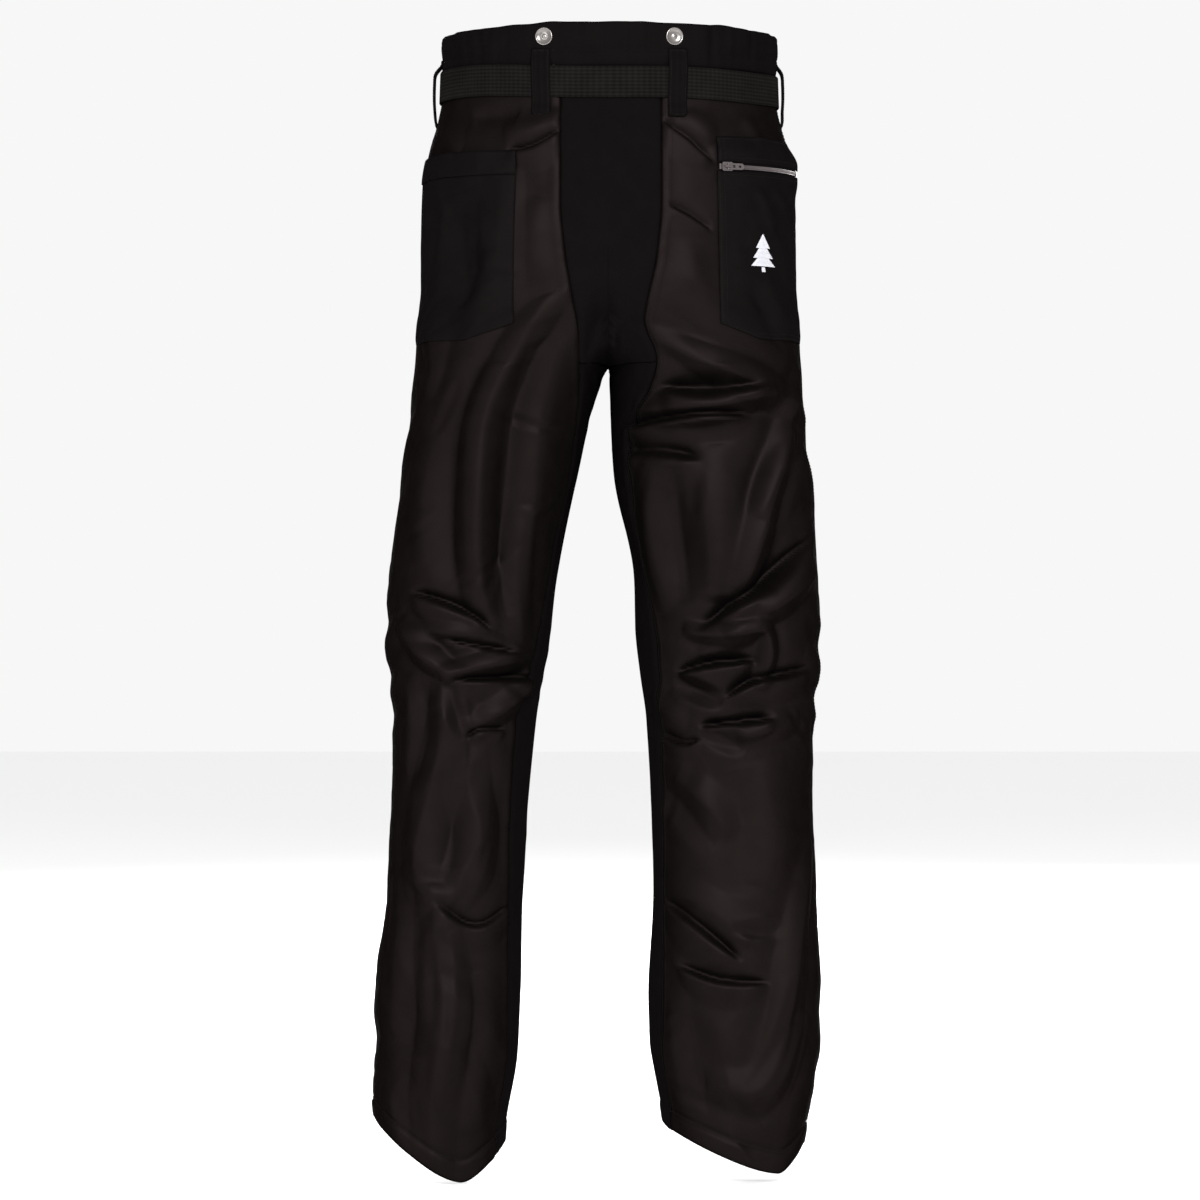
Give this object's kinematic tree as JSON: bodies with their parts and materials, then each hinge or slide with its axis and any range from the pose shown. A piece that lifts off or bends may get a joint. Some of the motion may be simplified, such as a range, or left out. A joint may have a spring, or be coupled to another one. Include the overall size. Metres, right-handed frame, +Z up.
{
  "type": "chainsaw protective trousers",
  "caption": "Full-length chainsaw protective trousers with saw-protection pads, stretch seat, belt, brace buttons and zip pocket.",
  "frame": {"origin": "centre of the waist at the height of the belt's middle", "axes": "+Z up, +Y towards the wearer's front, +X towards the wearer's right, so the back of the trousers faces -Y"},
  "size_m": [0.4312, 0.2522, 1.0946],
  "materials": {
    "shell_fabric": "satin",
    "stretch_fabric": "matte",
    "matte_fabric": "matte",
    "lining_fabric": "satin",
    "pad_fibre": "matte",
    "elastic": "matte",
    "belt_webbing": "matte",
    "zip_tape": "matte",
    "zip_coil": "gloss",
    "zip_metal": "satin",
    "button_metal": "polished",
    "buckle_metal": "satin",
    "badge_thread": "satin"
  },
  "bodies": {
    "trousers": {"back_brace_button_caps": "button_metal", "back_brace_button_tacks": "button_metal", "back_left_belt_loop": "matte_fabric", "back_right_belt_loop": "matte_fabric", "belt_free_end": "belt_webbing", "belt_tip": "buckle_metal", "belt_webbing": "belt_webbing", "buckle_frame": "buckle_metal", "buckle_pin": "buckle_metal", "fly_underlap": "matte_fabric", "fly_zip_coil": "zip_coil", "fly_zip_stops": "zip_metal", "fly_zip_tape": "zip_tape", "front_brace_button_caps": "button_metal", "front_brace_button_tacks": "button_metal", "front_left_belt_loop": "matte_fabric", "front_right_belt_loop": "matte_fabric", "left_back_leg_panel": "shell_fabric", "left_front_leg_panel": "shell_fabric", "left_hand_pocket_bag": "lining_fabric", "left_hem_band": "matte_fabric", "left_inner_leg_panel": "stretch_fabric", "left_leg_lining": "lining_fabric", "left_saw_protection_pad": "pad_fibre", "left_side_belt_loop": "matte_fabric", "open_pocket_hem": "matte_fabric", "open_pocket_patch": "matte_fabric", "pocket_badge": "badge_thread", "pocket_zip_coil": "zip_coil", "pocket_zip_facings": "matte_fabric", "pocket_zip_stops": "zip_metal", "pocket_zip_tape": "zip_tape", "right_back_leg_panel": "shell_fabric", "right_front_leg_panel": "shell_fabric", "right_hand_pocket_bag": "lining_fabric", "right_hem_band": "matte_fabric", "right_inner_leg_panel": "stretch_fabric", "right_leg_lining": "lining_fabric", "right_saw_protection_pad": "pad_fibre", "right_side_belt_loop": "matte_fabric", "seat_stretch_panel": "stretch_fabric", "waist_button_caps": "button_metal", "waist_button_tacks": "button_metal", "waist_elastic": "elastic", "waistband_casing": "matte_fabric", "zip_pocket_lower_patch": "matte_fabric", "zip_pocket_upper_patch": "matte_fabric"},
    "pocket_slider": {"pocket_zip_slider": "zip_metal"},
    "pocket_pull": {"pocket_zip_pull": "zip_metal"},
    "fly_slider": {"fly_zip_slider": "zip_metal"},
    "fly_pull": {"fly_zip_pull": "zip_metal"},
    "belt_lever": {"buckle_lever": "buckle_metal"}
  },
  "joints": [
    {"name": "pocket_zip_travel", "type": "hinge", "parent": "trousers", "child": "pocket_slider", "pos_m": [0.06574, 0.00262, -0.08], "axis": [0, 0, 1], "range_deg": [0, 47.5]},
    {"name": "pocket_pull_swing", "type": "hinge", "parent": "pocket_slider", "child": "pocket_pull", "pos_m": [0.11185, -0.10848, -0.08], "axis": [0, 0, -1], "range_deg": [0, 150]},
    {"name": "fly_zip_travel", "type": "slide", "parent": "trousers", "child": "fly_slider", "axis": [0, 0.0549, -0.9985], "range_m": [0, 0.12]},
    {"name": "fly_pull_swing", "type": "hinge", "parent": "fly_slider", "child": "fly_pull", "pos_m": [0, 0.11182, -0.03036], "axis": [1, 0, 0], "range_deg": [0, 100]},
    {"name": "belt_lever_flip", "type": "hinge", "parent": "trousers", "child": "belt_lever", "pos_m": [0.012, 0.11725, 0], "axis": [0, 0, -1], "range_deg": [0, 100]}
  ]
}
